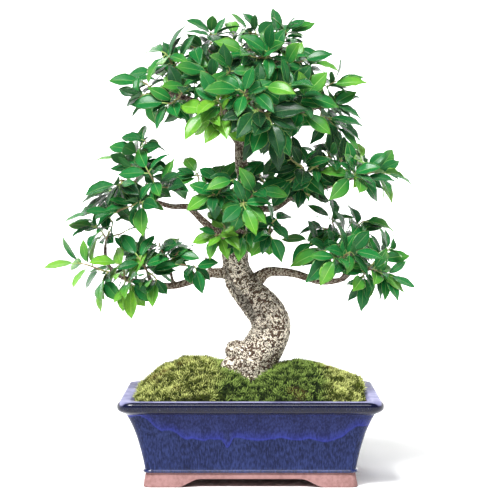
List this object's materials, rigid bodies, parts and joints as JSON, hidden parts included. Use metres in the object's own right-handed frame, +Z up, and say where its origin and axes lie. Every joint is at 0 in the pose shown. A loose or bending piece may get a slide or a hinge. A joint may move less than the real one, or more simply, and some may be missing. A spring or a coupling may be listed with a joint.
{
  "type": "golden gate ficus bonsai",
  "caption": "Small ficus bonsai with an S-curved speckled trunk, leafy pads on spreading branches and mounded moss, in a rectangular glazed pot on cut-out feet.",
  "frame": {"origin": "middle of the whole tree's footprint, on the surface that the pot stands on; the pot's own middle lies 22 mm to +X and 3 mm to -Y of it", "axes": "+Z up; +X to the right as the tree's front is seen; +Y away from the viewer, so the front faces -Y"},
  "size_m": [0.404, 0.2692, 0.5117],
  "materials": {
    "glaze": "gloss",
    "screen": "matte",
    "soil": "matte",
    "moss_young": "matte",
    "moss_dark": "matte",
    "bark": "matte",
    "leaf_young": "satin",
    "leaf": "satin",
    "leaf_dark": "satin"
  },
  "bodies": {
    "root": {"pot": "glaze", "drainage_screen_left": "screen", "drainage_screen_right": "screen", "soil": "soil", "moss_front_left": "moss_young", "moss_front_middle": "moss_dark", "moss_right": "moss_young", "moss_back_left": "moss_dark", "moss_back_right": "moss_dark", "trunk_and_branches": "bark", "leaves_crown_far_left": "leaf", "leaves_crown_left_front": "leaf", "leaves_crown_left_high": "leaf", "leaves_crown_top_left": "leaf", "leaves_crown_top": "leaf", "leaves_crown_top_right": "leaf", "leaves_crown_right_high": "leaf", "leaves_crown_right_low": "leaf", "leaves_crown_front_low": "leaf_dark", "leaves_crown_front_left": "leaf_young", "leaves_crown_front_middle": "leaf", "leaves_crown_front_high_left": "leaf", "leaves_crown_front_high": "leaf", "leaves_crown_front_right": "leaf", "leaves_crown_back_left": "leaf_dark", "leaves_crown_back": "leaf_dark", "leaves_crown_back_right": "leaf_dark", "leaves_left_high_tip": "leaf_dark", "leaves_left_high_top": "leaf", "leaves_left_high_middle": "leaf", "leaves_left_high_low": "leaf", "leaves_left_high_back": "leaf_dark", "leaves_left_inner": "leaf", "leaves_left_low_top": "leaf", "leaves_left_low_far": "leaf_young", "leaves_left_low_front": "leaf_young", "leaves_left_low_middle": "leaf", "leaves_left_low_high": "leaf", "leaves_left_low_inner": "leaf", "leaves_left_low_back": "leaf_dark", "leaves_centre_high": "leaf", "leaves_centre_left": "leaf", "leaves_centre_right": "leaf", "leaves_centre_low_right": "leaf", "leaves_centre_low": "leaf", "leaves_centre_low_left": "leaf_young", "leaves_right_high_tip": "leaf_young", "leaves_right_high_front": "leaf", "leaves_right_high_middle": "leaf_dark", "leaves_right_high_inner": "leaf_dark", "leaves_right_high_back": "leaf_dark", "leaves_right_low_tip": "leaf", "leaves_right_low_top": "leaf", "leaves_right_low_top_left": "leaf", "leaves_right_low_left": "leaf", "leaves_right_low_front": "leaf", "leaves_right_low_back": "leaf_dark", "leaves_back_centre_high": "leaf_dark", "leaves_back_centre": "leaf_dark", "leaves_back_centre_low": "leaf_dark"}
  },
  "joints": []
}
